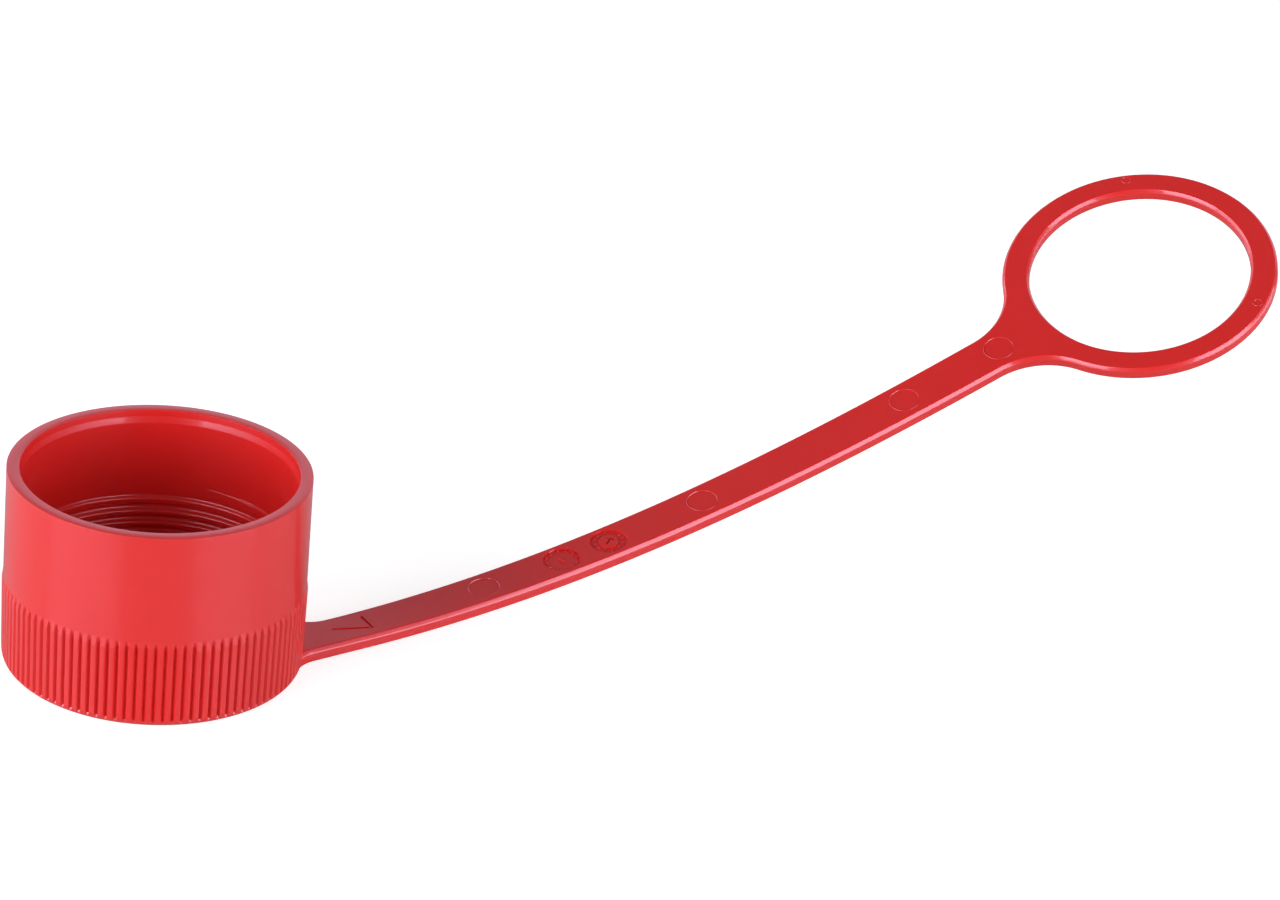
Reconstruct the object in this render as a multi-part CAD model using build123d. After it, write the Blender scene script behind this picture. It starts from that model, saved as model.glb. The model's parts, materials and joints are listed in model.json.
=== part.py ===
from build123d import *
from math import cos, radians, sin, sqrt, tan
import os

# Threaded protection cap with a retaining strap, moulded in one piece of
# low-density polyethylene. Millimetres.
#
# The origin is the centre of the closed end, on the surface the cap stands on.
# +Z is the cap's axis and points out of its mouth. The strap leaves along +X.

# Cup
cap_height = 32.0
bore_diameter = 42.0            # clears an M42 x 2 male thread
wall_thickness = 2.25           # beside the bore
floor_thickness = 3.4
floor_corner_radius = 0.8       # inside, where the floor meets the thread
base_edge_radius = 1.5          # rounding round the closed end

# Mouth and thread, from the rim down
lip_widening = 0.3              # the lip's radius over the bore's
lip_depth = 1.0
lead_in_height = 1.1            # narrows from the lip to the bore
thread_start = 11.8             # from the rim down to the thread
thread_depth = 1.08             # from the bore in to the crest of the M42 x 2 thread
thread_lead_height = 0.8        # slope from the bore in to the crest

# Grip band: upright rounded ribs round the closed end
grip_rib_count = 100
grip_height = 14.5
grip_crest_rise = 0.2           # of the crests over the wall, at the top of the band
grip_groove_depth = 0.5
grip_draft = 1.0                # degrees, the band narrows towards the base
grip_crest_run_out = 0.9        # height over which the crests slope in to the wall
grip_groove_run_out = 1.1       # height over which each groove runs out to a point
groove_tip_drop = 0.3           # from the top of the crests' slope to those points

# Strap: moulded flat, now bent up and twisted a little along its length
strap_width = 8.2
strap_thickness = 2.05
strap_edge_radius = 0.63        # rounding of the upper edges, also round the ring
strap_underside = 0.75          # height of the root above the base
strap_offset = 8.0              # from the cap's axis to the strap's centre line
strap_root_depth = 1.0          # how far inside the wall the root's slope starts
strap_root_rise = 3.2           # degrees, slope of the flat root
strap_root_length = 7.0         # flat, before the bent stretch
strap_root_radius = 5.0         # plan fillets where the strap meets the wall
strap_length = 120.0            # the bent stretch between the root and the neck
strap_bend_at_root = 0.225      # degrees of upward bend for each millimetre
strap_bend_at_neck = 0.09
strap_twist = 12.8              # degrees over the bent stretch
strap_sections = 13             # cross-sections that carry the bend and the twist
bend_steps = 24                 # short turns that add up to the bend at a section

# Ring that slips over the fitting, flat and in line with the strap's far end
ring_hole_diameter = 37.0
ring_width = 4.5
neck_radius = 12.5              # plan fillets between the strap and the ring
neck_straight = 1.0             # full-width strap before those fillets start

# Marks that the mould leaves in the top face
pin_mark_diameter = 5.0         # ejector pins
pin_mark_depth = 0.08
pin_marks_before_neck = [94.1, 52.7, 12.2]
pin_mark_on_neck = 6.5          # from the start of the neck
ring_pin_diameter = 1.5
ring_pin_angle = 60             # degrees each side of the strap's line
dial_diameter = 6.0             # date dials
dial_depth = 0.15
dials_before_neck = [79.6, 70.5]

# Working allowances
overlap = 0.3                   # shapes to be joined reach this far into each other
margin = 1.0                    # shapes that cut or trim reach this far past the part
same_place = 1e-3               # points closer than this are taken as one

# Radii and places that follow from the sizes above
bore_radius = bore_diameter / 2
wall_radius = bore_radius + wall_thickness
thread_crest_radius = bore_radius - thread_depth
rib_crest_radius = wall_radius + grip_crest_rise
groove_radius = rib_crest_radius - grip_groove_depth
rib_root_radius = groove_radius - grip_height * tan(radians(grip_draft)) - overlap
above_band = grip_height + grip_crest_run_out + margin
strap_root_x = wall_radius - strap_root_depth
strap_root_top = strap_underside + strap_thickness
ring_hole_radius = ring_hole_diameter / 2
ring_radius = ring_hole_radius + ring_width
ring_centre_x = neck_straight + sqrt(
    (ring_radius + neck_radius) ** 2 - (strap_width / 2 + neck_radius) ** 2
)


def on_circle(radius, angle):
    return (radius * cos(radians(angle)), radius * sin(radians(angle)))


def drafted(radius, level):
    """A radius of the grip band, brought in by the draft below the band's top."""
    return radius - (grip_height - level) * tan(radians(grip_draft))


def upper_cup():
    """The plain wall above the grip band, with the slope that ends each groove."""
    within_band = rib_root_radius - overlap
    slope = grip_groove_run_out / (wall_radius - groove_radius)
    groove_tip = grip_height - groove_tip_drop
    outline = Polyline(
        (0, base_edge_radius),
        (within_band, base_edge_radius),
        (within_band, groove_tip - slope * (wall_radius - within_band)),
        (wall_radius, groove_tip),
        (wall_radius, cap_height),
        (0, cap_height),
        (0, base_edge_radius),
    )
    return revolve(Plane.XZ * make_face(outline), Axis.Z)


def rib():
    """One rib: a round bar that leans in with the draft, in its share of the circle."""
    crest = drafted(rib_crest_radius, 0)
    half_pitch = 180 / grip_rib_count
    groove_x, groove_y = on_circle(crest - grip_groove_depth, half_pitch)
    rise = crest - groove_x
    bar_radius = (groove_y**2 + rise**2) / (2 * rise)
    bar = Cylinder(bar_radius, 2 * above_band)
    bar = Pos(X=crest - bar_radius) * Rot(Y=grip_draft) * bar
    inside = rib_root_radius - overlap
    outside = rib_crest_radius + margin
    share = Polyline(
        on_circle(inside, -half_pitch),
        on_circle(outside, -half_pitch),
        on_circle(outside, half_pitch),
        on_circle(inside, half_pitch),
        close=True,
    )
    share = extrude(make_face(share), above_band + margin)
    return bar & (Pos(Z=-margin) * share)


def grip_envelope():
    """Rounds the ribs in at the base and slopes their crests to the wall at the top."""
    clear_of_ribs = rib_crest_radius + margin
    inside_wall = wall_radius - overlap
    top_slope = grip_crest_run_out / grip_crest_rise
    edge_centre = drafted(rib_crest_radius, 0) - base_edge_radius
    edge_angle = 80             # stops short of upright, so the edge crosses the crests
    edge = [
        (
            edge_centre + base_edge_radius * sin(radians(angle)),
            base_edge_radius * (1 - cos(radians(angle))),
        )
        for angle in (0, edge_angle / 2, edge_angle)
    ]
    edge_end_radius, edge_end_height = edge[-1]
    beyond_edge = (clear_of_ribs - edge_end_radius) * tan(radians(edge_angle))
    outline = [
        ThreePointArc(*edge),
        Polyline(
            edge[-1],
            (clear_of_ribs, edge_end_height + beyond_edge),
            (clear_of_ribs, grip_height - (clear_of_ribs - wall_radius) * top_slope),
            (inside_wall, grip_height + (wall_radius - inside_wall) * top_slope),
            (0, grip_height + (wall_radius - inside_wall) * top_slope),
            (0, 0),
            edge[0],
        ),
    ]
    return revolve(Plane.XZ * make_face(outline), Axis.Z)


def grip_band():
    """The rib repeated round a core, trimmed at both ends."""
    core = Pos(Z=-margin) * Cylinder(
        rib_root_radius, above_band + margin, align=(Align.CENTER, Align.CENTER, Align.MIN)
    )
    around = PolarLocations(0, grip_rib_count)
    return core.fuse(*[place * rib() for place in around]) & grip_envelope()


def cavity():
    """Space inside the cup: lip, lead-in, bore, thread and rounded floor corner."""
    lip_radius = bore_radius + lip_widening
    lip_bottom = cap_height - lip_depth
    above_rim = cap_height + margin
    thread_top = cap_height - thread_start
    corner_top = (thread_crest_radius, floor_thickness + floor_corner_radius)
    corner_foot = (thread_crest_radius - floor_corner_radius, floor_thickness)
    outline = [
        Polyline(
            (0, floor_thickness),
            (0, above_rim),
            (lip_radius, above_rim),
            (lip_radius, lip_bottom),
            (bore_radius, lip_bottom - lead_in_height),
            (bore_radius, thread_top),
            (thread_crest_radius, thread_top - thread_lead_height),
            corner_top,
        ),
        RadiusArc(corner_top, corner_foot, floor_corner_radius),
        Line(corner_foot, (0, floor_thickness)),
    ]
    return revolve(Plane.XZ * make_face(outline), Axis.Z)


def root_station():
    """Middle of the strap's top face at its root: local X runs out along the strap."""
    return Pos(strap_root_x, -strap_offset, strap_root_top) * Rot(Y=-strap_root_rise)


def strap_station(distance):
    """Middle of the top face, a distance along the bent stretch from its start."""
    step = distance / bend_steps
    twist = strap_twist * step / strap_length
    station = root_station() * Pos(X=strap_root_length)
    for count in range(bend_steps):
        share = (count + 0.5) * step / strap_length
        rate = strap_bend_at_root + (strap_bend_at_neck - strap_bend_at_root) * share
        station *= Pos(X=step / 2) * Rot(X=twist, Y=-rate * step) * Pos(X=step / 2)
    return station


def strap_section(distance):
    """The strap's cross-section: flat underneath, with rounded upper edges."""
    bar = Rectangle(strap_width, strap_thickness, align=(Align.CENTER, Align.MAX))
    bar = fillet(bar.vertices().group_by(Axis.Y)[-1], strap_edge_radius)
    across = Plane(origin=(0, 0, 0), x_dir=(0, 1, 0), z_dir=(1, 0, 0))
    return strap_station(distance) * (across * bar)


def bent_strap():
    spacing = strap_length / (strap_sections - 1)
    return loft([strap_section(count * spacing) for count in range(strap_sections)])


def widened(outline, cut_end, radius):
    """Fillets the corners where the strap's sides run into a wider outline."""
    corners = outline.vertices().filter_by(
        lambda corner: abs(abs(corner.Y) - strap_width / 2) < same_place
        and abs(corner.X - cut_end) > same_place
    )
    return fillet(corners, radius)


def rounded_plate(outline, cut_end):
    """A plate below its outline, its upper edges rounded except at the cut end."""
    plate = extrude(outline, -strap_thickness)
    upper = plate.edges().group_by(Axis.Z)[-1]
    rounded = upper.filter_by(lambda edge: abs(edge.center().X - cut_end) > same_place)
    return fillet(rounded, strap_edge_radius)


def strap_root():
    """The flat root, filleted in plan into the wall and blended with the ribs there."""
    disc = Pos(-strap_root_x, strap_offset) * Circle(drafted(groove_radius, strap_root_top))
    bar = Pos(X=-strap_root_x) * Rectangle(
        strap_root_x + strap_root_length, strap_width, align=(Align.MIN, Align.CENTER)
    )
    outline = widened(disc + bar, strap_root_length, strap_root_radius)
    plate = rounded_plate(outline, strap_root_length)
    near_strap = Box(
        strap_root_length + strap_root_radius + margin,
        strap_width + 2 * (strap_root_radius + margin),
        2 * (strap_thickness + margin),
        align=(Align.MAX, Align.CENTER, Align.CENTER),
    )
    return root_station() * (plate & (Pos(X=strap_root_length) * near_strap))


def ring():
    """The flat ring and its neck, in line with the strap's far end."""
    bar = Rectangle(ring_centre_x, strap_width, align=(Align.MIN, Align.CENTER))
    outline = bar + Pos(X=ring_centre_x) * Circle(ring_radius)
    outline = widened(outline, 0, neck_radius)
    outline -= Pos(X=ring_centre_x) * Circle(ring_hole_radius)
    return strap_station(strap_length) * rounded_plate(outline, 0)


def round_marks():
    """Shallow pockets left by the ejector pins and the date dials."""
    pin = Cylinder(pin_mark_diameter / 2, 2 * pin_mark_depth)
    small_pin = Cylinder(ring_pin_diameter / 2, 2 * pin_mark_depth)
    dial = Cylinder(dial_diameter / 2, 2 * dial_depth)
    neck = strap_station(strap_length)
    marks = [strap_station(strap_length - place) * pin for place in pin_marks_before_neck]
    marks += [strap_station(strap_length - place) * dial for place in dials_before_neck]
    marks.append(neck * Pos(X=pin_mark_on_neck) * pin)
    for side in (-1, 1):
        x, y = on_circle(ring_hole_radius + ring_width / 2, side * ring_pin_angle)
        marks.append(neck * Pos(ring_centre_x + x, y) * small_pin)
    return marks


def protection_cap():
    cap = upper_cup() + grip_band() + strap_root()
    cap -= cavity()
    cap += bent_strap() + ring()
    return cap - round_marks()


os.makedirs("parts", exist_ok=True)
export_step(protection_cap(), "parts/protection_cap.step")
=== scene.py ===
import json
import logging
import math
from dataclasses import dataclass, field
from enum import Enum

import bmesh
import bpy
from mathutils import Matrix, Vector


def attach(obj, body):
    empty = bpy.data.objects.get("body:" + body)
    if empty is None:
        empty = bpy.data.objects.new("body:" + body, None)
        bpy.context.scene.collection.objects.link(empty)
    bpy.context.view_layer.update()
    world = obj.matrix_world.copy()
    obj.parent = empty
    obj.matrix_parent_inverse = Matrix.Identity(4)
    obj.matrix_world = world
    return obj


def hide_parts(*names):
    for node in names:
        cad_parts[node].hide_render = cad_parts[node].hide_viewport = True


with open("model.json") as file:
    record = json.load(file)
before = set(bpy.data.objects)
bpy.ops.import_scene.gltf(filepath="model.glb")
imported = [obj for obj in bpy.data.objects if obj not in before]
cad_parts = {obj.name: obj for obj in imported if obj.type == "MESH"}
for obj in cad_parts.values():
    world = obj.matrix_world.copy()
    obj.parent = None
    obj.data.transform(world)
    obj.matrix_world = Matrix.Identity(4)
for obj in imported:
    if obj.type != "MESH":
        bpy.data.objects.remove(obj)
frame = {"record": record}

# A threaded protection cap moulded in one piece of red polyethylene: the cup with
# its ribs and thread, the bent strap, and the ring at its end. Metres, in the
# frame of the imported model: +Z out of the cap's mouth, +X along the strap. Angles
# are in degrees where they are sizes.

MM = 0.001
HALF_TURN = math.pi
FULL_TURN = 2 * math.pi
NODE = "protection_cap"
BODY = "root"
SAME_PLACE = 0.0005 * MM  # vertices closer than this are one
SHARP_ANGLE = 32.0  # faces that meet at a smaller angle shade as one
LOG = logging.getLogger("protection_cap")

BMesh = bmesh.types.BMesh
Verts = list[bmesh.types.BMVert]
Edges = list[bmesh.types.BMEdge]
Point = tuple[float, float]
Outline = list[Vector]


# ---------------------------------------------------------------- small helpers


def linear_colour(hex_code: str) -> tuple[float, float, float, float]:
    """Turns an sRGB hex colour into the linear values that a shader takes.

    Args:
        hex_code: Six hex digits, such as "c8102e".

    Returns:
        Red, green, blue and an alpha of 1.
    """
    levels = [int(hex_code[place:place + 2], 16) / 255 for place in (0, 2, 4)]
    red, green, blue = (
        level / 12.92 if level <= 0.04045 else ((level + 0.055) / 1.055) ** 2.4
        for level in levels
    )
    return (red, green, blue, 1.0)


def mount(name: str) -> dict:
    """Finds one of the part's stated interfaces by its name."""
    return next(entry for entry in frame["record"]["mounts"] if entry["name"] == name)


def mount_radius(name: str) -> float:
    """The radius of a round interface, in metres."""
    return mount(name)["dims"]["r_mm"] * MM


def spread(first: float, last: float, steps: int) -> list[float]:
    """Evenly spaced values from first to last, both included."""
    return [first + (last - first) * step / steps for step in range(steps + 1)]


def clamped(value: float) -> float:
    """Keeps a share between 0 and 1."""
    return min(max(value, 0.0), 1.0)


def polar(centre: Point, distance: float, angle: float) -> Point:
    """The point at a distance from another, in a direction given in degrees."""
    heading = math.radians(angle)
    return (centre[0] + distance * math.cos(heading), centre[1] + distance * math.sin(heading))


def arc(centre: Point, radius: float, start: float, end: float, chords: int) -> list[Point]:
    """Points along a round stretch, both ends included.

    Args:
        centre: Centre of the circle.
        radius: Its radius.
        start: Angle of the first point, in degrees.
        end: Angle of the last point, in degrees.
        chords: Number of equal chords.

    Returns:
        The points, in order.
    """
    return [polar(centre, radius, angle) for angle in spread(start, end, chords)]


def softened(line: list[Point], reach: list[float], chords: int = 3) -> list[Point]:
    """Rounds the inner corners of a line.

    Args:
        line: Its points.
        reach: How far from each inner corner its rounding starts.
        chords: Number of chords in each rounding.

    Returns:
        The line's points, with several for each inner corner.
    """
    points = [line[0]]
    for before, corner, after, distance in zip(line, line[1:], line[2:], reach):
        middle = Vector(corner)
        start = middle + (Vector(before) - middle).normalized() * distance
        end = middle + (Vector(after) - middle).normalized() * distance
        for share in spread(0.0, 1.0, chords):
            point = start.lerp(middle, share).lerp(middle.lerp(end, share), share)
            points.append(tuple(point))
    return points + [line[-1]]


def loop_of(bm: BMesh, points: Outline, closed: bool = True) -> Verts:
    """Adds a chain of vertices and the edges between them.

    Args:
        bm: The mesh that takes them.
        points: Where the vertices go.
        closed: Whether the last one joins the first.

    Returns:
        The new vertices, in order.
    """
    verts = [bm.verts.new(point) for point in points]
    for one, other in zip(verts, verts[1:]):
        bm.edges.new((one, other))
    if closed:
        bm.edges.new((verts[-1], verts[0]))
    return verts


def edges_round(verts: Verts) -> Edges:
    """The edges of a closed loop of vertices, in order."""
    pairs = zip(verts, verts[1:] + verts[:1])
    return [next(edge for edge in one.link_edges if other in edge.verts) for one, other in pairs]


def drawn_out(bm: BMesh, verts: Verts, points: Outline) -> Verts:
    """Extrudes a closed loop and moves the new one to the places given.

    Args:
        bm: The mesh.
        verts: The loop that is extruded, in order.
        points: One place for each new vertex, in the same order.

    Returns:
        The new loop's vertices, in order.
    """
    result = bmesh.ops.extrude_edge_only(bm, edges=edges_round(verts))
    fresh = {item for item in result["geom"] if isinstance(item, bmesh.types.BMVert)}
    outer = []
    for vert, point in zip(verts, points):
        joined = (edge.other_vert(vert) for edge in vert.link_edges)
        twin = next(other for other in joined if other in fresh)
        twin.co = point
        outer.append(twin)
    return outer


def turned(bm: BMesh, angle: float, steps: int, rise: float = 0.0) -> None:
    """Sweeps everything so far about Z.

    Args:
        bm: The mesh, which holds an open or closed line.
        angle: The whole turn, in radians.
        steps: Number of equal steps.
        rise: Climb along Z in each step.
    """
    bmesh.ops.spin(
        bm,
        geom=bm.verts[:] + bm.edges[:],
        cent=(0, 0, 0),
        axis=(0, 0, 1),
        dvec=(0, 0, rise),
        angle=angle,
        steps=steps,
        use_merge=False,
        use_duplicate=False,
    )


def repeated(bm: BMesh, copies: int, angle: float, rise: float = 0.0) -> None:
    """Adds copies of everything so far, each turned about Z and raised past the last.

    Args:
        bm: The mesh.
        copies: How many are added.
        angle: Turn from one to the next, in radians.
        rise: Distance along Z from one to the next.
    """
    bmesh.ops.spin(
        bm,
        geom=bm.verts[:] + bm.edges[:] + bm.faces[:],
        cent=(0, 0, 0),
        axis=(0, 0, 1),
        dvec=(0, 0, rise),
        angle=angle * copies,
        steps=copies,
        use_merge=False,
        use_duplicate=True,
    )


def move_out(vert: bmesh.types.BMVert, radius: float) -> None:
    """Moves a vertex to a distance from the Z axis, at its height and azimuth."""
    stretch = radius / math.hypot(vert.co.x, vert.co.y)
    vert.co.x, vert.co.y = vert.co.x * stretch, vert.co.y * stretch


def tidy(bm: BMesh) -> None:
    """Merges doubled vertices and points every face outwards.

    Args:
        bm: The mesh.
    """
    bmesh.ops.remove_doubles(bm, verts=bm.verts, dist=SAME_PLACE)
    bmesh.ops.dissolve_degenerate(bm, edges=bm.edges, dist=SAME_PLACE / 2)
    bmesh.ops.recalc_face_normals(bm, faces=bm.faces)


def finished(name: str, bm: BMesh, finish: bpy.types.Material) -> bpy.types.Object:
    """Makes an object of a finished mesh, smooth but for its sharp edges.

    Args:
        name: The piece's name.
        bm: Its mesh, which is freed.
        finish: Its material.

    Returns:
        The object, at the origin.
    """
    mesh = bpy.data.meshes.new(name)
    bm.to_mesh(mesh)
    bm.free()
    mesh.materials.append(finish)
    mesh.shade_smooth()
    mesh.set_sharp_from_angle(angle=math.radians(SHARP_ANGLE))
    piece = bpy.data.objects.new(name, mesh)
    bpy.context.scene.collection.objects.link(piece)
    weighted = piece.modifiers.new("even_shading", "WEIGHTED_NORMAL")
    weighted.keep_sharp = True
    return piece


# ---------------------------------------------------------------------- finishes


def node(
    tree: bpy.types.NodeTree, kind: str, settings: dict | None = None, links: dict | None = None
) -> bpy.types.Node:
    """Adds one shader node with its settings and its incoming links.

    Args:
        tree: The node tree.
        kind: The node's type.
        settings: Values for its own properties, or for its inputs by name or number.
        links: The output socket that feeds each input, by name or number.

    Returns:
        The new node.
    """
    made = tree.nodes.new(kind)
    for name, value in (settings or {}).items():
        if isinstance(name, str) and hasattr(made, name):
            setattr(made, name, value)
        else:
            made.inputs[name].default_value = value
    for name, socket in (links or {}).items():
        tree.links.new(socket, made.inputs[name])
    return made


def empty_tree(owner: bpy.types.Material | bpy.types.World) -> bpy.types.NodeTree:
    """Gives a material or the world an empty node tree.

    Args:
        owner: What the nodes are for.

    Returns:
        The tree.
    """
    owner.use_nodes = True
    owner.node_tree.nodes.clear()
    return owner.node_tree


@dataclass(frozen=True)
class MouldedPolyethylene:
    """Red low-density polyethylene as it leaves a polished mould.

    The skin mirrors lamps sharply, while the waxy bulk under it scatters a wide
    haze of them. The red is even, a shade deeper where the melt flowed slower, and
    reflections waver slightly where the surface shrank as it cooled.
    """

    colour: str = "d9221b"
    deeper_colour: str = "d21b15"
    haze_roughness: float = 0.38
    refraction: float = 1.51
    skin: float = 0.7
    skin_roughness: float = 0.12
    translucency: float = 0.3
    glow_depth: float = 1.0 * MM
    glow_shares: tuple[float, float, float] = (1.0, 0.2, 0.15)  # red goes deepest
    flow_size: float = 9.0 * MM
    flow_detail: float = 2.0
    wave_size: float = 3.2 * MM
    wave_detail: float = 1.0
    wave_height: float = 0.004 * MM
    grain_size: float = 0.3 * MM
    grain_detail: float = 2.0
    grain_height: float = 0.0008 * MM
    unevenness: float = 0.45  # how much of each pattern is its finer part

    def material(self) -> bpy.types.Material:
        """Builds the material.

        Returns:
            The material, with its patterns on Object coordinates.
        """
        made = bpy.data.materials.new("moulded_red_polyethylene")
        tree = empty_tree(made)
        place = node(tree, "ShaderNodeTexCoord").outputs["Object"]
        patterns = (
            (self.flow_size, self.flow_detail),
            (self.wave_size, self.wave_detail),
            (self.grain_size, self.grain_detail),
        )
        flow, waves, grain = (
            node(
                tree,
                "ShaderNodeTexNoise",
                {"Scale": 1 / size, "Detail": detail, "Roughness": self.unevenness},
                {"Vector": place},
            ).outputs["Fac"]
            for size, detail in patterns
        )
        fresh, slow = linear_colour(self.colour), linear_colour(self.deeper_colour)
        tint = node(tree, "ShaderNodeMix", {"data_type": "RGBA", 6: fresh, 7: slow}, {0: flow})
        soft = node(
            tree,
            "ShaderNodeBump",
            {"Strength": 1.0, "Distance": self.wave_height},
            {"Height": waves},
        )
        fine = node(
            tree,
            "ShaderNodeBump",
            {"Strength": 1.0, "Distance": self.grain_height},
            {"Height": grain, "Normal": soft.outputs["Normal"]},
        )
        shader = node(
            tree,
            "ShaderNodeBsdfPrincipled",
            {
                "Roughness": self.haze_roughness,
                "IOR": self.refraction,
                "Subsurface Weight": self.translucency,
                "Subsurface Radius": self.glow_shares,
                "Subsurface Scale": self.glow_depth,
                "Coat Weight": self.skin,
                "Coat Roughness": self.skin_roughness,
                "Coat IOR": self.refraction,
            },
            {
                "Base Color": tint.outputs[2],
                "Normal": fine.outputs["Normal"],
                "Coat Normal": soft.outputs["Normal"],
            },
        )
        node(tree, "ShaderNodeOutputMaterial", links={"Surface": shader.outputs["BSDF"]})
        return made


@dataclass(frozen=True)
class StudioWhite:
    """White acrylic sheet: plain white to the eye, but it still takes a soft shadow.

    What it sends back to the part is what such a sheet does: dimmer than its
    white, with a low gleam of the lamps and of the screen behind.
    """

    colour: str = "c8c8ba"
    roughness: float = 0.3
    lift: float = 0.74

    def material(self) -> bpy.types.Material:
        """Builds the material: what the camera or glass would see is lifted to white.

        Returns:
            The material.
        """
        made = bpy.data.materials.new("white_acrylic_sheet")
        tree = empty_tree(made)
        colour = linear_colour(self.colour)
        path = node(tree, "ShaderNodeLightPath")
        seen = node(
            tree,
            "ShaderNodeMath",
            {"operation": "MAXIMUM"},
            {0: path.outputs["Is Camera Ray"], 1: path.outputs["Is Transmission Ray"]},
        )
        sheet = node(
            tree, "ShaderNodeBsdfPrincipled", {"Base Color": colour, "Roughness": self.roughness}
        )
        matt = node(tree, "ShaderNodeBsdfDiffuse", {"Color": colour})
        glow = node(tree, "ShaderNodeEmission", {"Strength": self.lift})
        white = node(tree, "ShaderNodeAddShader", links={0: matt.outputs[0], 1: glow.outputs[0]})
        both = node(
            tree,
            "ShaderNodeMixShader",
            links={0: seen.outputs[0], 1: sheet.outputs[0], 2: white.outputs[0]},
        )
        node(tree, "ShaderNodeOutputMaterial", links={"Surface": both.outputs[0]})
        return made


# ----------------------------------------------------------------------- the cup


@dataclass
class Cup:
    """The cup: a turned shell with upright ribs round its closed end.

    The ribs' crests slope in to the plain wall over crest_run_out, and the grooves
    between them run out to points over groove_run_out. Above the base, a plain
    strip is left before the grooves begin.
    """

    finish: bpy.types.Material
    height: float = 32.0 * MM
    wall: float = 2.25 * MM
    floor: float = 3.4 * MM
    floor_corner: float = 0.8 * MM
    base_edge: float = 1.5 * MM
    lip_widening: float = 0.3 * MM
    lip_depth: float = 1.0 * MM
    lead_in: float = 1.1 * MM
    lead_in_cone: float = 0.98 * MM
    cone_softening: float = 0.12  # share of the cone that is rounded at each end
    rim_edge: float = 0.02 * MM
    rib_count: int = 100
    grip_height: float = 14.5 * MM
    draft: float = 1.0
    crest_rise: float = 0.2 * MM
    crest_crown: float = 0.05 * MM
    crest_run_out: float = 1.7 * MM
    groove_depth: float = 0.47 * MM
    groove_share: float = 0.56
    groove_run_out: float = 0.9 * MM
    base_strip: float = 0.65 * MM
    base_run_out: float = 0.5 * MM
    columns_per_rib: int = 12
    sectors: int = 20
    band_rows: int = 4
    shoulder_height: float = 2.0 * MM
    shoulder_rows: int = 18
    shoulder_gap: float = 0.1 * MM
    base_chords: int = 12
    rim_chords: int = 4
    corner_chords: int = 5

    def __post_init__(self) -> None:
        """Works out the radii that follow from the bore."""
        self.bore = mount_radius("bore")
        self.lip = self.bore + self.lip_widening
        self.outside = self.bore + self.wall
        self.crest = self.outside + self.crest_rise
        self.groove = self.crest - self.groove_depth

    def drafted(self, radius: float, level: float) -> float:
        """A radius of the grip band, brought in by the draft below the band's top."""
        return radius - (self.grip_height - level) * math.tan(math.radians(self.draft))

    def crest_limit(self, level: float) -> float:
        """The outermost radius at a level near the grip band's top.

        Args:
            level: Height over the base.

        Returns:
            The drafted crest's radius, or the slope's or the plain wall's above it.
        """
        slope = self.crest_rise / self.crest_run_out
        sloped = self.outside + (self.grip_height - level) * slope
        return max(self.outside, min(self.drafted(self.crest, level), sloped))

    def outer_side(self) -> list[Point]:
        """The base's edge and the grip band, with close rows where the ribs run out.

        Returns:
            Radius and height of each point, upwards.
        """
        centre = (self.drafted(self.crest, 0.0) - self.base_edge, self.base_edge)
        edge = arc(centre, self.base_edge, -90, 0, self.base_chords)
        shoulder_foot = self.grip_height - self.shoulder_height
        band = spread(self.base_edge * 2, shoulder_foot, self.band_rows)
        shoulder = spread(
            shoulder_foot + self.shoulder_gap,
            self.grip_height + self.shoulder_gap,
            self.shoulder_rows,
        )
        return (
            edge
            + [(self.drafted(self.crest, level), level) for level in band]
            + [(self.crest_limit(level), level) for level in shoulder]
        )

    def rim(self) -> list[Point]:
        """The flat rim between its two fine edges.

        Returns:
            Radius and height of each point, inwards.
        """
        edge = self.rim_edge
        level = self.height - edge
        outer = arc((self.outside - edge, level), edge, 0, 90, self.rim_chords)
        inner = arc((self.lip + edge, level), edge, 90, 180, self.rim_chords)
        return outer + inner

    def mouth(self) -> list[Point]:
        """The cone that leads in from the lip to the bore, soft at both ends.

        Each soft end has one point between its own ends.

        Returns:
            Radius and height of each point, downwards.
        """
        lip_bottom = self.height - self.lip_depth
        spare = (self.lead_in - self.lead_in_cone) / 2
        cone_top = lip_bottom - spare
        cone_foot = lip_bottom - self.lead_in + spare
        run = self.lip_widening * self.cone_softening
        rise = (cone_top - cone_foot) * self.cone_softening
        return [
            (self.lip, cone_top + spare),
            (self.lip - run / 4, cone_top + spare / 4),
            (self.lip - run, cone_top - rise),
            (self.bore + run, cone_foot + rise),
            (self.bore + run / 4, cone_foot - spare / 4),
            (self.bore, cone_foot - spare),
        ]

    def profile(self) -> list[Point]:
        """Half of the cup's section, from the middle of its base to that of its floor.

        Returns:
            Radius and height of each point.
        """
        corner = (self.bore - self.floor_corner, self.floor + self.floor_corner)
        fillet = arc(corner, self.floor_corner, 0, -90, self.corner_chords)
        inside = self.mouth() + fillet + [(0.0, self.floor)]
        return [(0.0, 0.0)] + self.outer_side() + self.rim() + inside

    def rib_radius(self, angle: float, level: float) -> float:
        """Distance from the axis to the ribs' surface.

        Args:
            angle: Azimuth in radians.
            level: Height over the base.

        Returns:
            The radius on a gently crowned crest or in the round groove beside it.
        """
        pitch = FULL_TURN / self.rib_count
        off_groove = abs((angle / pitch + 0.5) % 1.0 - 0.5) * 2
        inside = max(1 - off_groove / self.groove_share, 0.0)
        sunk = self.groove_depth * (1 - math.cos(math.pi * inside)) / 2
        return self.drafted(self.crest, level) - sunk - self.crest_crown * (1 - off_groove) ** 2

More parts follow.
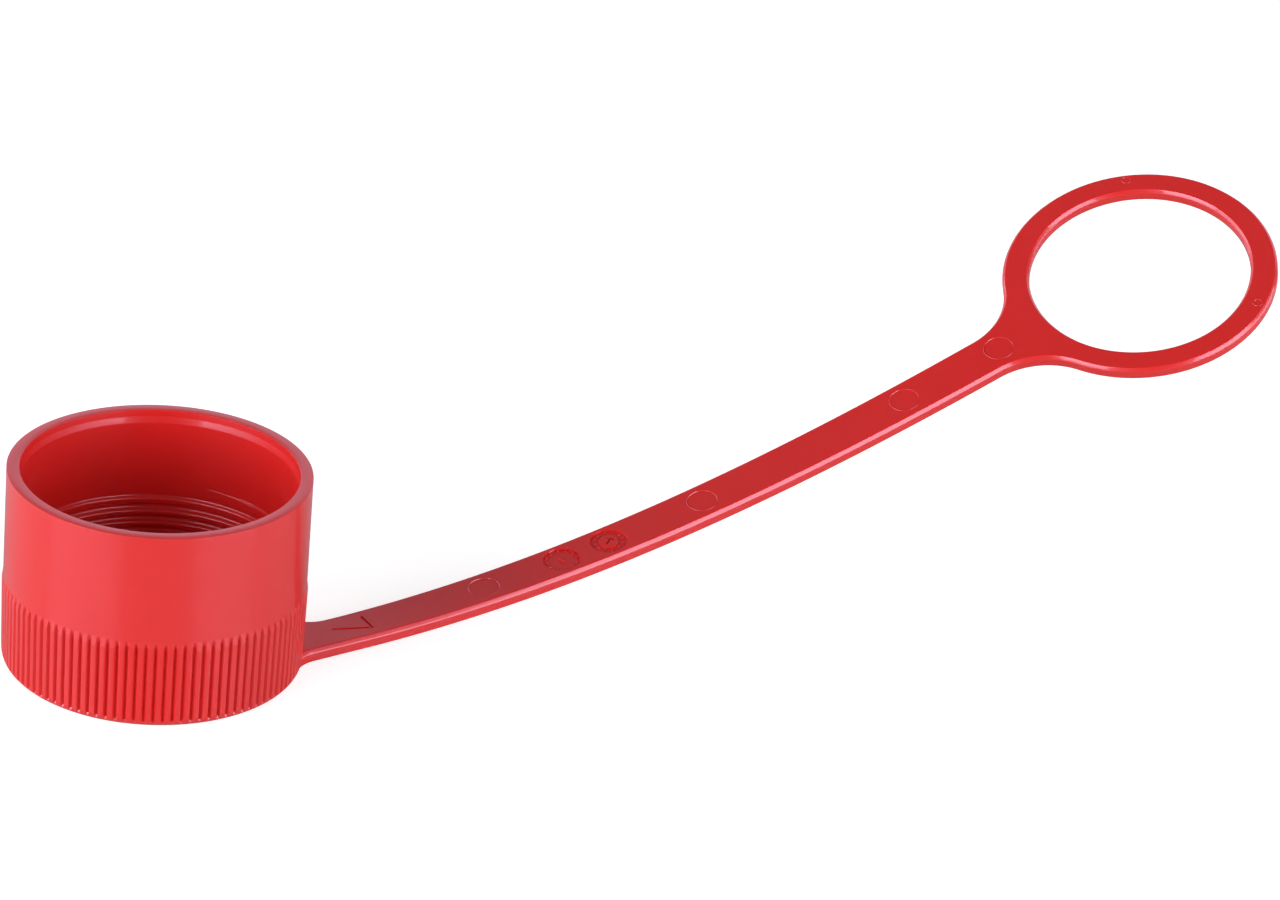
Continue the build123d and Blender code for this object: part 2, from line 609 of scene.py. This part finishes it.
    def press_ribs(self, bm: BMesh) -> None:
        """Brings the outer wall in between the ribs, to where the grooves run out.

        Args:
            bm: The turned cup.
        """
        top_slope = (self.outside - self.groove) / self.groove_run_out
        base_slope = self.groove_depth / self.base_run_out
        inner_limit = self.outside - self.wall / 2
        top = self.grip_height + 2 * self.shoulder_gap
        for vert in bm.verts:
            radius = math.hypot(vert.co.x, vert.co.y)
            level = vert.co.z
            if radius < inner_limit or level > top:
                continue
            rib = self.rib_radius(math.atan2(vert.co.y, vert.co.x), level)
            run_out = self.outside - max(self.grip_height - level, 0.0) * top_slope
            foot = self.drafted(self.crest, level) - (level - self.base_strip) * base_slope
            move_out(vert, min(radius, max(rib, run_out, foot)))

    def build(self) -> bpy.types.Object:
        """Turns the section and presses the ribs.

        Returns:
            The cup.
        """
        bm = bmesh.new()
        outline = [Vector((radius, 0.0, level)) for radius, level in self.profile()]
        loop_of(bm, outline, closed=False)
        sector = FULL_TURN / self.sectors
        turned(bm, sector, self.rib_count * self.columns_per_rib // self.sectors)
        repeated(bm, self.sectors - 1, sector)
        tidy(bm)
        self.press_ribs(bm)
        return finished("cup", bm, self.finish)


# -------------------------------------------------------------------- the thread


@dataclass
class ThreadRidge:
    """The ridge of the right-hand thread, let into the bore's wall.

    It rises quickly out of the wall over fade_turns at both ends, to start_share of
    its depth, and reaches its whole depth slowly, over full_turns.
    """

    finish: bpy.types.Material
    pitch: float = 2.0 * MM
    depth: float = 0.7 * MM
    crest_width: float = 0.6 * MM
    root_width: float = 1.4 * MM
    crest_edge: float = 0.22 * MM
    root_edge: float = 0.28 * MM
    edge_chords: int = 4
    let_in: float = 0.15 * MM
    top: float = 18.56 * MM
    top_azimuth: float = 50.0
    top_extra: float = 0.25 * MM
    top_extra_turns: float = 0.55
    top_extra_fade: float = 0.2
    fade_turns: float = 0.08
    full_turns: float = 1.7
    start_share: float = 0.45
    steps_per_turn: int = 180

    def __post_init__(self) -> None:
        """Fits as many half turns as there is room for above the thread's foot."""
        thread = mount("thread")
        self.bore = mount_radius("bore")
        self.crest = self.bore - self.depth
        low = thread["pos_m"][2] - thread["dims"]["length_mm"] * MM / 2
        self.halves = int(2 * (self.top - self.root_width / 2 - low) / self.pitch)
        self.turns = self.halves / 2
        self.bottom = self.top - self.halves * self.pitch / 2

    def section(self) -> list[Point]:
        """The ridge's section about its middle.

        Returns:
            Radius and height of each point.
        """
        back = self.bore + self.let_in
        half_root = self.root_width / 2
        half_crest = self.crest_width / 2
        line = [
            (back, -half_root - self.root_edge),
            (self.bore, -half_root - self.root_edge),
            (self.bore, -half_root),
            (self.crest, -half_crest),
            (self.crest, half_crest),
            (self.bore, half_root),
            (self.bore, half_root + self.root_edge),
            (back, half_root + self.root_edge),
        ]
        edges = [0.0, self.root_edge, self.crest_edge, self.crest_edge, self.root_edge, 0.0]
        return softened(line, edges, self.edge_chords)

    def travelled(self, place: Vector) -> float:
        """How far along the ridge a place on it lies.

        Args:
            place: A point of the ridge.

        Returns:
            The turns from the ridge's foot.
        """
        azimuth = math.atan2(place.y, place.x) / FULL_TURN
        start = math.radians(self.top_azimuth) / FULL_TURN - self.halves / 2
        rough = (place.z - self.bottom) / self.pitch
        return azimuth - start + round(rough - (azimuth - start))

    def sunk_share(self, travelled: float) -> float:
        """How much of the ridge's depth is lost near its two ends.

        Args:
            travelled: Turns from the ridge's foot.

        Returns:
            0 for the whole ridge, up to 1 where it has sunk into the wall.
        """
        from_end = max(min(travelled, self.turns - travelled), 0.0)
        quick = min(from_end / self.fade_turns, 1.0)
        slow = min(from_end / self.full_turns, 1.0)
        return 1 - quick * (self.start_share + (1 - self.start_share) * slow)

    def shape_ends(self, bm: BMesh) -> None:
        """Thickens the top end upwards and lets the ridge rise slowly from both ends.

        A lower stretch keeps the slope of the ridge's sides, and has a wider crest.

        Args:
            bm: The wound ridge.
        """
        side_run = (self.root_width - self.crest_width) / 2
        sunk_radius = self.bore + self.let_in / 2
        for vert in bm.verts:
            travelled = self.travelled(vert.co)
            sunk = self.sunk_share(travelled)
            radius = math.hypot(vert.co.x, vert.co.y)
            over_middle = vert.co.z - self.bottom - travelled * self.pitch
            height = max(self.bore - radius, 0.0) / self.depth
            vert.co.z += math.copysign(side_run * sunk * height, over_middle)
            if over_middle > 0:
                past_start = travelled - self.turns + self.top_extra_turns
                vert.co.z += self.top_extra * clamped(past_start / self.top_extra_fade)
            move_out(vert, radius + sunk * max(sunk_radius - radius, 0.0))

    def build(self) -> bpy.types.Object:
        """Winds the section up the bore.

        Returns:
            The ridge.
        """
        steps = self.steps_per_turn // 2
        start = math.radians(self.top_azimuth) - self.halves * HALF_TURN
        bm = bmesh.new()
        outline = [Vector((radius, 0.0, level + self.bottom)) for radius, level in self.section()]
        verts = loop_of(bm, outline)
        bmesh.ops.rotate(bm, verts=verts, cent=(0, 0, 0), matrix=Matrix.Rotation(start, 3, "Z"))
        turned(bm, HALF_TURN, steps, self.pitch / 2 / steps)
        repeated(bm, self.halves - 1, HALF_TURN, self.pitch / 2)
        tidy(bm)
        bmesh.ops.holes_fill(bm, edges=[edge for edge in bm.edges if edge.is_boundary], sides=0)
        self.shape_ends(bm)
        tidy(bm)
        return finished("thread_ridge", bm, self.finish)


# ------------------------------------------------------------ the strap and ring


@dataclass
class StrapLine:
    """Where a place on the flat strap lies once the strap is bent and twisted.

    The bend is stated at both of its ends as degrees for each millimetre.
    """

    start: tuple[float, float, float] = (22.25 * MM, -8.0 * MM, 2.8 * MM)
    rise: float = 3.2
    flat_root: float = 7.0 * MM
    bent_length: float = 120.0 * MM
    bend_at_root: float = 0.225
    bend_at_neck: float = 0.09
    twist: float = 12.8
    steps: int = 120

    def __post_init__(self) -> None:
        """Follows the bend from the root to the neck in short steps."""
        self.root = Matrix.Translation(self.start)
        self.root @= Matrix.Rotation(math.radians(-self.rise), 4, "Y")
        self.step = self.bent_length / self.steps
        self.stations = [self.root @ Matrix.Translation((self.flat_root, 0, 0))]
        for count in range(self.steps):
            self.stations.append(self.stations[-1] @ self.turn(count, self.step))

    def turn(self, count: int, distance: float) -> Matrix:
        """One short stretch of the bend.

        Args:
            count: Which step it starts from.
            distance: Its length.

        Returns:
            The move from its start to its end.
        """
        share = (count * self.step + distance / 2) / self.bent_length
        rate = self.bend_at_root + (self.bend_at_neck - self.bend_at_root) * share
        half = Matrix.Translation((distance / 2, 0, 0))
        bend = Matrix.Rotation(math.radians(-rate * distance / MM), 4, "Y")
        twist = Matrix.Rotation(math.radians(self.twist * distance / self.bent_length), 4, "X")
        return half @ twist @ bend @ half

    def place(self, flat: Vector) -> Vector:
        """Carries a point of the flat strap to its place on the bent one.

        Args:
            flat: Distance from the root, distance across and height over the top face.

        Returns:
            The point in the part's frame.
        """
        along = flat.x - self.flat_root
        if along <= 0:
            return self.root @ flat
        if along >= self.bent_length:
            return self.stations[-1] @ Vector((along - self.bent_length, flat.y, flat.z))
        count = min(int(along / self.step), self.steps - 1)
        local = self.turn(count, along - count * self.step)
        return self.stations[count] @ local @ Vector((0.0, flat.y, flat.z))


def at_level(points: list[Point], level: float) -> Outline:
    """Puts a line of the flat strap at a level over its top face."""
    return [Vector((along, across, level)) for along, across in points]


def circle_line(centre: Point, radius: float, level: float, corners: int = 48) -> Outline:
    """A circle on the flat strap, at a level over its top face."""
    return at_level(arc(centre, radius, 0, 360, corners)[:-1], level)


def bar_line(middle: Point, angle: float, length: float, width: float, level: float) -> Outline:
    """A round-ended bar on the flat strap.

    Args:
        middle: Its middle.
        angle: Its direction, in degrees.
        length: Its whole length.
        width: Its width.
        level: Its level over the strap's top face.

    Returns:
        Its outline, anticlockwise.
    """
    reach, half, chords = (length - width) / 2, width / 2, 6
    ahead = arc(polar(middle, reach, angle), half, angle - 90, angle + 90, chords)
    behind = arc(polar(middle, -reach, angle), half, angle + 90, angle + 270, chords)
    return at_level(ahead + behind, level)


@dataclass
class Mark:
    """A shallow mark in a flat face: its lines from the face to its floor.

    Smaller marks can stand on the floor, or go on into it.
    """

    lines: list[Outline]
    islands: list["Mark"] = field(default_factory=list)

    def cut(self, bm: BMesh) -> Edges:
        """Adds the mark's walls and floor.

        Args:
            bm: The mesh.

        Returns:
            The edges of its first line, which the face around it joins.
        """
        verts = loop_of(bm, self.lines[0])
        border = edges_round(verts)
        for line in self.lines[1:]:
            verts = drawn_out(bm, verts, line)
        floor = edges_round(verts)
        for island in self.islands:
            floor += island.cut(bm)
        bmesh.ops.triangle_fill(bm, edges=floor, use_beauty=True)
        return border


class MarkKind(Enum):
    """The marks that the mould leaves in the strap's top face."""

    EJECTOR_PIN = "large ejector pin"
    SMALL_PIN = "small ejector pin"
    BAR_DIAL = "dial with a bar"
    ARROW_DIAL = "dial with an arrow on its hub"


@dataclass(frozen=True)
class MarkMaker:
    """Sizes of the mould's marks.

    Each drop is how far under the face a figure's top lies, as a share of the
    dial's depth.
    """

    pin_radius: float = 2.5 * MM
    small_pin_radius: float = 0.75 * MM
    witness_width: float = 0.07 * MM
    witness_height: float = 0.035 * MM
    pin_depth: float = 0.07 * MM
    wall_lean: float = 0.06 * MM
    dial_radius: float = 3.0 * MM
    dial_depth: float = 0.35 * MM
    dial_corners: int = 72
    tick_count: int = 12
    tick_length: float = 0.6 * MM
    tick_width: float = 0.28 * MM
    tick_drop: float = 1 / 3
    tick_inset: float = 0.7  # from the bar dial's edge, in lengths of a tick
    bar_heading: float = 100.0
    bar_length: float = 1.9 * MM
    bar_width: float = 0.4 * MM
    bar_drop: float = 1 / 4
    hub_radius: float = 1.55 * MM
    hub_drop: float = 1 / 6
    arrow_heading: float = 35.0
    arrow_length: float = 1.9 * MM
    arrow_width: float = 0.34 * MM
    arrow_lean: float = 0.1 * MM
    barb_length: float = 0.62 * MM
    barb_width: float = 0.26 * MM
    barb_spread: float = 42.0
    barb_reach: float = 0.52 * MM
    barb_swing: float = 0.35

    def pin(self, centre: Point, radius: float) -> Mark:
        """A pin's mark: a thin raised witness line round a slightly sunk disc.

        Args:
            centre: Its centre on the flat strap.
            radius: The pin's radius.

        Returns:
            The mark.
        """
        half = self.witness_width / 2
        outer, inner = radius + half, radius - half
        return Mark(
            [
                circle_line(centre, outer + self.wall_lean / 2, 0.0),
                circle_line(centre, outer, self.witness_height),
                circle_line(centre, inner, self.witness_height),
                circle_line(centre, inner - self.wall_lean, -self.pin_depth),
            ]
        )

    def bar(self, middle: Point, angle: float, size: Point, drops: Point, lean: float) -> Mark:
        """A round-ended bar that stands on a dial's floor or is sunk in its hub.

        Args:
            middle: Its middle.
            angle: Its direction.
            size: Its length and width where it starts.
            drops: How far down it starts and ends, where 1 is the dial's floor.
            lean: How much shorter and narrower it ends.

        Returns:
            The bar.
        """
        (length, width), (start, end) = size, drops
        outer = bar_line(middle, angle, length, width, -self.dial_depth * start)
        inner = bar_line(middle, angle, length - lean, width - lean, -self.dial_depth * end)
        return Mark([outer, inner])

    def ticks(self, centre: Point, middle_radius: float) -> list[Mark]:
        """The short ticks round a dial's floor.

        Args:
            centre: The dial's centre.
            middle_radius: Distance of the ticks' middles from it.

        Returns:
            The ticks.
        """
        size, drops = (self.tick_length, self.tick_width), (1.0, self.tick_drop)
        angles = [360 * (count + 0.5) / self.tick_count for count in range(self.tick_count)]
        return [
            self.bar(polar(centre, middle_radius, angle), angle, size, drops, self.wall_lean)
            for angle in angles
        ]

    def dial(self, centre: Point, islands: list[Mark]) -> Mark:
        """A sunk dial.

        Args:
            centre: Its centre on the flat strap.
            islands: What stands on its floor.

        Returns:
            The mark.
        """
        mouth = circle_line(centre, self.dial_radius + self.wall_lean, 0.0, self.dial_corners)
        floor = circle_line(centre, self.dial_radius, -self.dial_depth, self.dial_corners)
        return Mark([mouth, floor], islands)

    def bar_dial(self, centre: Point) -> Mark:
        """The dial with ticks and one bar.

        Args:
            centre: Its centre on the flat strap.

        Returns:
            The mark.
        """
        ticks = self.ticks(centre, self.dial_radius - self.tick_length * self.tick_inset)
        size, drops = (self.bar_length, self.bar_width), (1.0, self.bar_drop)
        bar = self.bar(centre, self.bar_heading, size, drops, self.wall_lean)
        return self.dial(centre, ticks + [bar])

    def arrow_dial(self, centre: Point) -> Mark:
        """The dial with ticks round a raised hub that has an arrow sunk in it.

        Args:
            centre: Its centre on the flat strap.

        Returns:
            The mark.
        """
        heading, drops = self.arrow_heading, (self.hub_drop, 1.0)
        size = (self.arrow_length, self.arrow_width)
        arrow = [self.bar(centre, heading, size, drops, self.arrow_lean)]
        tip = polar(centre, self.arrow_length / 2, heading)
        size = (self.barb_length, self.barb_width)
        for side in (-self.barb_spread, self.barb_spread):
            angle = heading + 180 + side
            middle = polar(tip, self.barb_reach, angle + side * self.barb_swing)
            arrow.append(self.bar(middle, angle, size, drops, self.arrow_lean))
        foot = circle_line(centre, self.hub_radius + self.wall_lean, -self.dial_depth)
        top = circle_line(centre, self.hub_radius, -self.dial_depth * self.hub_drop)
        ticks = self.ticks(centre, (self.dial_radius + self.hub_radius) / 2 + self.wall_lean)
        return self.dial(centre, ticks + [Mark([foot, top], arrow)])

    def make(self, kind: MarkKind, centre: Point) -> Mark:
        """One mark of a kind at its place.

        Args:
            kind: Which mark.
            centre: Its centre on the flat strap.

        Returns:
            The mark.
        """
        if kind is MarkKind.EJECTOR_PIN:
            return self.pin(centre, self.pin_radius)
        if kind is MarkKind.SMALL_PIN:
            return self.pin(centre, self.small_pin_radius)
        if kind is MarkKind.BAR_DIAL:
            return self.bar_dial(centre)
        return self.arrow_dial(centre)


@dataclass(frozen=True)
class EngravedSeven:
    """The plain figure seven engraved beside the strap's root, its top towards the ring."""

    past_root: float = 1.0 * MM
    half_height: float = 2.9 * MM
    half_width: float = 1.8 * MM
    foot_aside: float = 0.4 * MM
    half_stroke: float = 0.28 * MM
    depth: float = 0.22 * MM
    end_chords: int = 10
    bend_chords: int = 8

    def stroke(self, start: Point, bend: Point, end: Point) -> list[Point]:
        """Outline of a round-ended cutter's stroke that bends once, to the right.

        Args:
            start: Where the cutter starts.
            bend: Where it turns.
            end: Where it stops.

        Returns:
            The outline's points, anticlockwise.
        """
        half = self.half_stroke
        first = math.degrees(math.atan2(bend[1] - start[1], bend[0] - start[0]))
        second = math.degrees(math.atan2(end[1] - bend[1], end[0] - bend[0]))
        turn = (second - first + 180) % 360 - 180
        second = first + turn
        mitre = half / math.cos(math.radians(turn / 2))
        clockwise = arc(start, half, first - 90, first - 270, self.end_chords)
        clockwise += arc(bend, half, first + 90, second + 90, self.bend_chords)
        clockwise += arc(end, half, second + 90, second - 90, self.end_chords)
        clockwise.append(polar(bend, mitre, first + turn / 2 - 90))
        return clockwise[::-1]

    def mark(self, flat_root: float) -> Mark:
        """Engraves the figure.

        Args:
            flat_root: Length of the strap's flat root.

        Returns:
            The mark.
        """
        middle = flat_root + self.past_root
        start = (middle + self.half_height, self.half_width)
        bend = (middle + self.half_height, -self.half_width)
        end = (middle - self.half_height, self.foot_aside)
        outline = self.stroke(start, bend, end)
        return Mark([at_level(outline, 0.0), at_level(outline, -self.depth)])


@dataclass
class StrapAndRing:
    """The strap and its ring: moulded flat with every mark, then bent.

    Each place in mark_places is a distance along the strap from the neck.
    """

    finish: bpy.types.Material
    line: StrapLine
    width: float = 8.2 * MM
    thickness: float = 2.05 * MM
    facet_drop: float = 0.6 * MM
    facet_width: float = 0.47 * MM
    facet_edge: float = 0.12 * MM
    lower_edge: float = 0.15 * MM
    cup_radius: float = 22.75 * MM
    root_fillet: float = 5.0 * MM
    ring_width: float = 4.5 * MM
    neck_fillet: float = 12.5 * MM
    neck_straight: float = 1.0 * MM
    mark_places: tuple[tuple[MarkKind, float], ...] = (
        (MarkKind.EJECTOR_PIN, -95.1 * MM),
        (MarkKind.BAR_DIAL, -80.9 * MM),
        (MarkKind.ARROW_DIAL, -72.2 * MM),
        (MarkKind.EJECTOR_PIN, -54.6 * MM),
        (MarkKind.EJECTOR_PIN, -15.2 * MM),
        (MarkKind.EJECTOR_PIN, 3.7 * MM),
    )
    small_pin_angle: float = 60.0
    small_pin_share: float = 0.65  # of the ring's width, from its hole
    root_chords: int = 24
    neck_chords: int = 40
    ring_chords: int = 240
    slice_length: float = 1.5 * MM

    def __post_init__(self) -> None:
        """Works out where the cup, the neck and the ring lie on the flat strap."""
        self.cup_centre = (-self.line.start[0], -self.line.start[1])
        self.hole = mount_radius("ring_hole")
        self.ring = self.hole + self.ring_width
        self.neck = self.line.flat_root + self.line.bent_length
        self.neck_aside = self.width / 2 + self.neck_fillet
        reach = self.ring + self.neck_fillet
        self.neck_turn = math.degrees(math.asin(self.neck_aside / reach))
        ahead = math.sqrt(reach**2 - self.neck_aside**2)
        self.ring_centre = self.neck + self.neck_straight + ahead

    def root_line(self, side: int, inset: float) -> list[Point]:
        """The plan fillet between the cup's wall and one side of the strap.

        Args:
            side: -1 or 1, the side that it lies on.
            inset: How far inside the outline the line runs.

        Returns:
            Points from the wall to the strap's side.
        """
        aside = side * (self.width / 2 + self.root_fillet)
        reach = self.cup_radius + self.root_fillet
        drop = aside - self.cup_centre[1]
        ahead = math.sqrt(reach**2 - drop**2)
        centre = (self.cup_centre[0] + ahead, aside)
        to_wall = math.degrees(math.atan2(-drop, -ahead)) % 360
        to_strap = 90.0 if side < 0 else 270.0
        return arc(centre, self.root_fillet + inset, to_wall, to_strap, self.root_chords)

    def outline(self, inset: float) -> list[Point]:
        """The strap's and ring's outline, anticlockwise from the wall on the near side.

        Args:
            inset: How far inside the full outline the line runs.

        Returns:
            Its points.
        """
        neck = self.neck + self.neck_straight
        fillet, turn = self.neck_fillet + inset, self.neck_turn
        near = arc((neck, -self.neck_aside), fillet, 90, turn, self.neck_chords)
        far = arc((neck, self.neck_aside), fillet, -turn, -90, self.neck_chords)
        centre = (self.ring_centre, 0.0)
        ring = arc(centre, self.ring - inset, 180 + turn, 540 - turn, self.ring_chords)
        to_strap, to_wall = self.root_line(-1, inset), self.root_line(1, inset)[::-1]
        return to_strap + near + ring[1:-1] + far + to_wall

    def hole_line(self, inset: float) -> list[Point]:
        """The ring's hole, widened by an inset."""
        return arc((self.ring_centre, 0.0), self.hole + inset, 0, 360, self.ring_chords)[:-1]

    def section(self) -> list[Point]:
        """The side of the strap, from the underside to the top face.

        Returns:
            Inset and level of each line.
        """
        corners = [
            (2 * self.lower_edge, -self.thickness),
            (0.0, -self.thickness),
            (0.0, -self.facet_drop),
            (self.facet_width, 0.0),
            (self.facet_width + 2 * self.facet_edge, 0.0),
        ]
        return softened(corners, [self.lower_edge, self.facet_edge, self.facet_edge])

    def marks(self) -> list[Mark]:
        """Every mark of the mould, at its place on the flat strap.

        Returns:
            The marks.
        """
        places = [(kind, (self.neck + past_neck, 0.0)) for kind, past_neck in self.mark_places]
        outwards = self.hole + self.small_pin_share * self.ring_width
        for angle in (-self.small_pin_angle, self.small_pin_angle):
            place = polar((self.ring_centre, 0.0), outwards, angle)
            places.append((MarkKind.SMALL_PIN, place))
        maker = MarkMaker()
        figure = EngravedSeven().mark(self.line.flat_root)
        return [maker.make(kind, place) for kind, place in places] + [figure]

    def build_flat(self) -> BMesh:
        """Makes the flat strap and ring with all of their marks.

        Returns:
            The closed mesh.
        """
        bm = bmesh.new()
        upper: Edges = []
        lower: Edges = []
        (foot_inset, foot_level), *rest = self.section()
        for line in (self.outline, self.hole_line):
            verts = loop_of(bm, at_level(line(foot_inset), foot_level))
            lower += edges_round(verts)
            for inset, level in rest:
                verts = drawn_out(bm, verts, at_level(line(inset), level))
            upper += edges_round(verts)
        bmesh.ops.triangle_fill(bm, edges=lower, use_beauty=True)
        for mark in self.marks():
            upper += mark.cut(bm)
        bmesh.ops.triangle_fill(bm, edges=upper, use_beauty=True)
        tidy(bm)
        return bm

    def build(self) -> bpy.types.Object:
        """Slices the flat strap and bends it.

        Returns:
            The strap with its ring.
        """
        bm = self.build_flat()
        slices = round(self.line.bent_length / self.slice_length)
        for along in spread(self.line.flat_root, self.neck, slices):
            bmesh.ops.bisect_plane(
                bm,
                geom=bm.verts[:] + bm.edges[:] + bm.faces[:],
                dist=SAME_PLACE,
                plane_co=(along, 0, 0),
                plane_no=(1, 0, 0),
            )
        bmesh.ops.triangulate(bm, faces=[face for face in bm.faces if len(face.verts) > 4])
        for vert in bm.verts:
            vert.co = self.line.place(vert.co)
        bmesh.ops.recalc_face_normals(bm, faces=bm.faces)
        return finished("strap_and_ring", bm, self.finish)


# ------------------------------------------------------------------------ studio


@dataclass(frozen=True)
class Softbox:
    """One rectangular studio lamp that faces the part from a stated direction.

    Its direction is an azimuth, counted from +X towards +Y, and an elevation. Its
    size is a width and a height, and its brightness is what its face would show,
    where 1 is white.
    """

    name: str
    direction: Point
    distance: float
    size: Point
    brightness: float
    colour: str = "e6e6ff"
    aim: tuple[float, float, float] = (40 * MM, 0.0, 20 * MM)

    def light(self) -> None:
        """Hangs the lamp."""
        data = bpy.data.lights.new(self.name, "AREA")
        data.shape = "RECTANGLE"
        data.size, data.size_y = self.size
        data.energy = self.brightness * math.pi * self.size[0] * self.size[1]
        data.color = linear_colour(self.colour)[:3]
        lamp = bpy.data.objects.new(self.name, data)
        bpy.context.scene.collection.objects.link(lamp)
        turn, lift = (math.radians(angle) for angle in self.direction)
        away = Vector(
            (math.cos(lift) * math.cos(turn), math.cos(lift) * math.sin(turn), math.sin(lift))
        )
        lamp.location = Vector(self.aim) + away * self.distance
        lamp.rotation_euler = away.to_track_quat("Z", "Y").to_euler()
        lamp.visible_camera = False


# Two bright softboxes ahead of the part, each with a dimmer wing past it, then a
# broad low screen behind the part and a faint one over that.
LAMPS = (
    Softbox("left_softbox", (187.0, 17.5), 1.2, size=(1.15, 0.8), brightness=7.3),
    Softbox("left_wing", (130.0, 8.0), 1.2, size=(1.3, 0.5), brightness=4.0),
    Softbox("right_softbox", (294.0, 17.5), 1.2, size=(0.95, 0.8), brightness=6.3),
    Softbox("right_wing", (334.0, 8.0), 1.2, size=(0.75, 0.5), brightness=4.0),
    Softbox("back_screen", (57.0, 13.5), 1.6, size=(3.6, 0.87), brightness=0.9),
    Softbox("high_screen", (57.0, 48.0), 1.6, size=(3.0, 1.2), brightness=0.14, colour="f0f0ff"),
)


@dataclass(frozen=True)
class Studio:
    """A white floor, soft lamps and the camera.

    The floor ends in front of the lamps, and the camera sees plain white past it.
    """

    floor_size: float = 1.6
    ambient: float = 0.064
    azimuth: float = 33.022
    elevation: float = 25.286
    roll: float = 5.438
    distance: float = 726.45 * MM
    target: tuple[float, float, float] = (69.587 * MM, -25.431 * MM, 35.137 * MM)
    lens: float = 131.96
    sensor: float = 36.0
    far_limit: float = 50.0

    def lay_floor(self) -> None:
        """Lays the white floor under the part."""
        bm = bmesh.new()
        bmesh.ops.create_grid(bm, x_segments=1, y_segments=1, size=self.floor_size / 2)
        floor = finished("floor", bm, StudioWhite().material())

    def light_room(self) -> None:
        """Gives the room its faint light, which the camera sees as plain white."""
        world = bpy.data.worlds.new("studio")
        bpy.context.scene.world = world
        tree = empty_tree(world)
        path = node(tree, "ShaderNodeLightPath")
        level = node(
            tree,
            "ShaderNodeMix",
            {"data_type": "FLOAT", 2: self.ambient, 3: 1.0},
            {0: path.outputs["Is Camera Ray"]},
        )
        white = {"Color": linear_colour("ffffff")}
        glow = node(tree, "ShaderNodeBackground", white, {"Strength": level.outputs[0]})
        node(tree, "ShaderNodeOutputWorld", links={"Surface": glow.outputs[0]})

    def set_camera(self) -> None:
        """Sets up the camera, level but for a slight roll."""
        data = bpy.data.cameras.new("camera")
        data.lens = self.lens
        data.sensor_width = self.sensor
        data.clip_end = self.far_limit
        eye = bpy.data.objects.new("camera", data)
        bpy.context.scene.collection.objects.link(eye)
        turn = (
            Matrix.Rotation(math.radians(-self.azimuth), 4, "Z")
            @ Matrix.Rotation(math.radians(90 - self.elevation), 4, "X")
            @ Matrix.Rotation(math.radians(self.roll), 4, "Z")
        )
        back = Matrix.Translation((0, 0, self.distance))
        eye.matrix_world = Matrix.Translation(self.target) @ turn @ back
        bpy.context.scene.camera = eye

    def build(self) -> None:
        """Sets the stage, its light and its view."""
        self.lay_floor()
        for lamp in LAMPS:
            lamp.light()
        self.light_room()
        self.set_camera()
        bpy.context.scene.view_settings.view_transform = "Standard"


def main() -> None:
    """Builds the part and its studio."""
    logging.basicConfig(level=logging.INFO, format="%(name)s %(message)s")
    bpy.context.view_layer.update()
    plastic = MouldedPolyethylene().material()
    pieces = [
        Cup(plastic).build(),
        ThreadRidge(plastic).build(),
        StrapAndRing(plastic, StrapLine()).build(),
    ]
    for piece in pieces:
        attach(piece, BODY)
        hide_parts(NODE)
        LOG.info("%s: %d faces", piece.name, len(piece.data.polygons))
    Studio().build()


if __name__ == "__main__":
    main()
